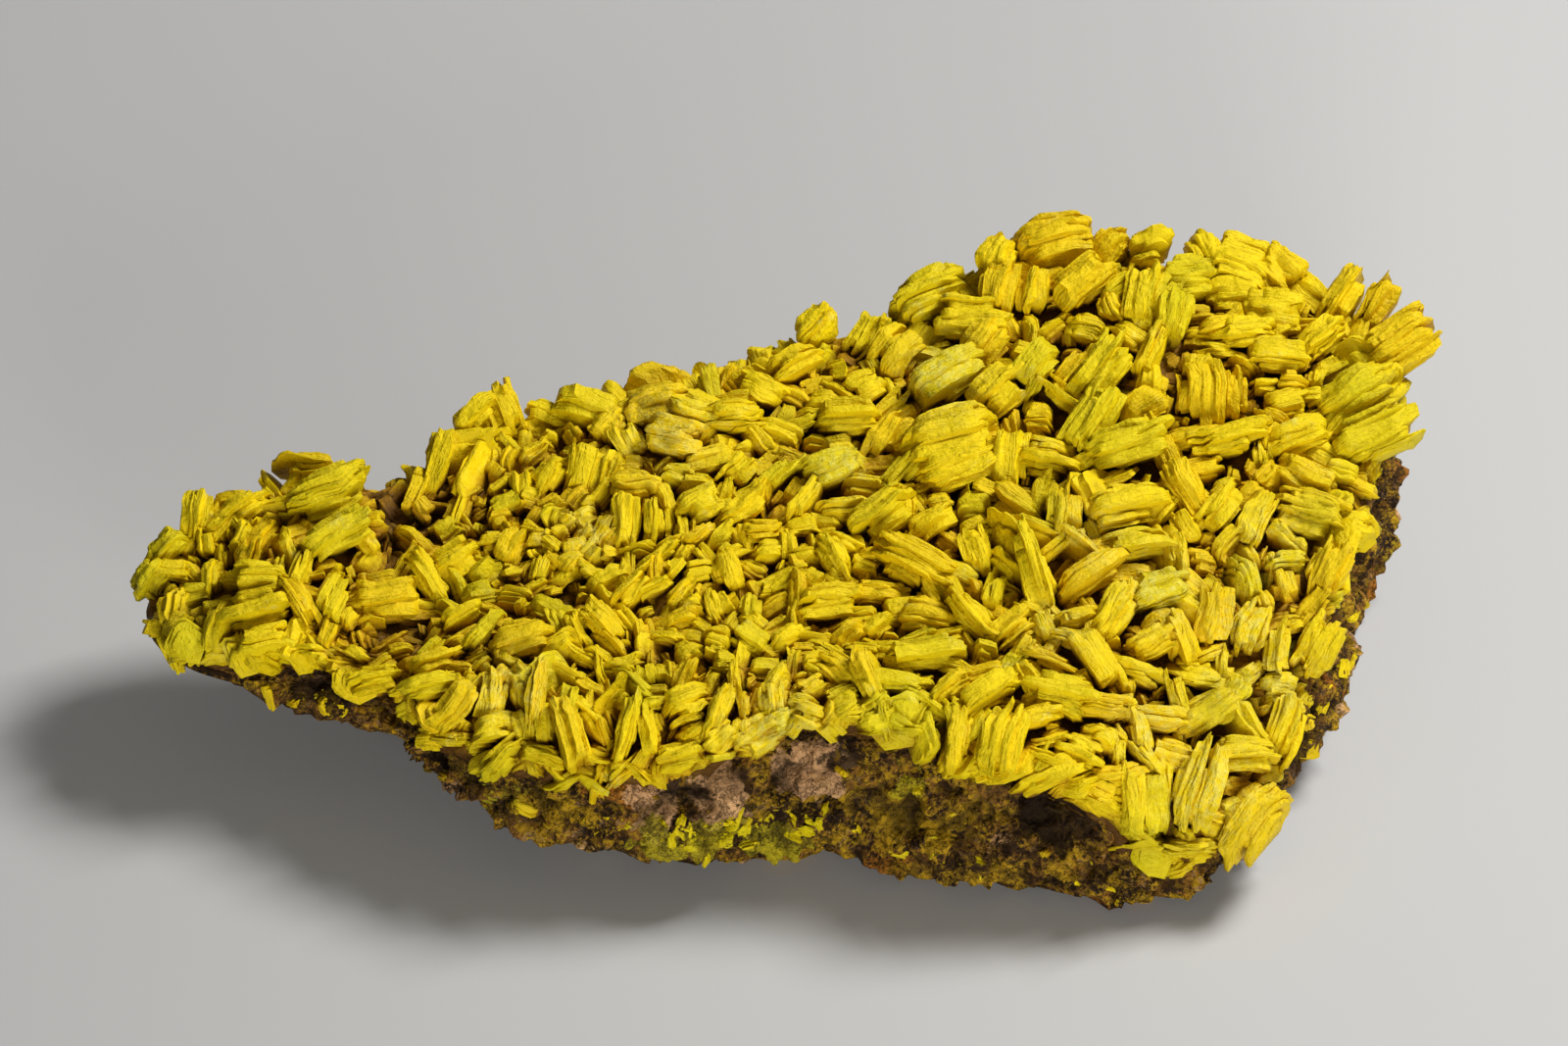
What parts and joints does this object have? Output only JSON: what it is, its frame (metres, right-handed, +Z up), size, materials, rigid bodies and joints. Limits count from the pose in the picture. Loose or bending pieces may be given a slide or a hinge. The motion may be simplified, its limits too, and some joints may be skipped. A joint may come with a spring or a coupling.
{
  "type": "meta-autunite mineral specimen on matrix",
  "caption": "Hand-size mineral specimen: a broken plate of rusty granite with a dense crust of lemon-yellow layered crystal books grown over its upper face.",
  "frame": {"origin": "under the middle of the specimen's box, on the surface that it rests on", "axes": "+X along the plate towards its wide end, +Y away from the viewer, +Z up"},
  "size_m": [0.1013, 0.0545, 0.0276],
  "materials": {
    "rusty_granite": "rough broken granite stained by rust",
    "yellow_crystal": "satin layered crystal"
  },
  "bodies": {
    "root": {"matrix": "rusty_granite", "crystal_crust": "yellow_crystal"}
  },
  "joints": []
}
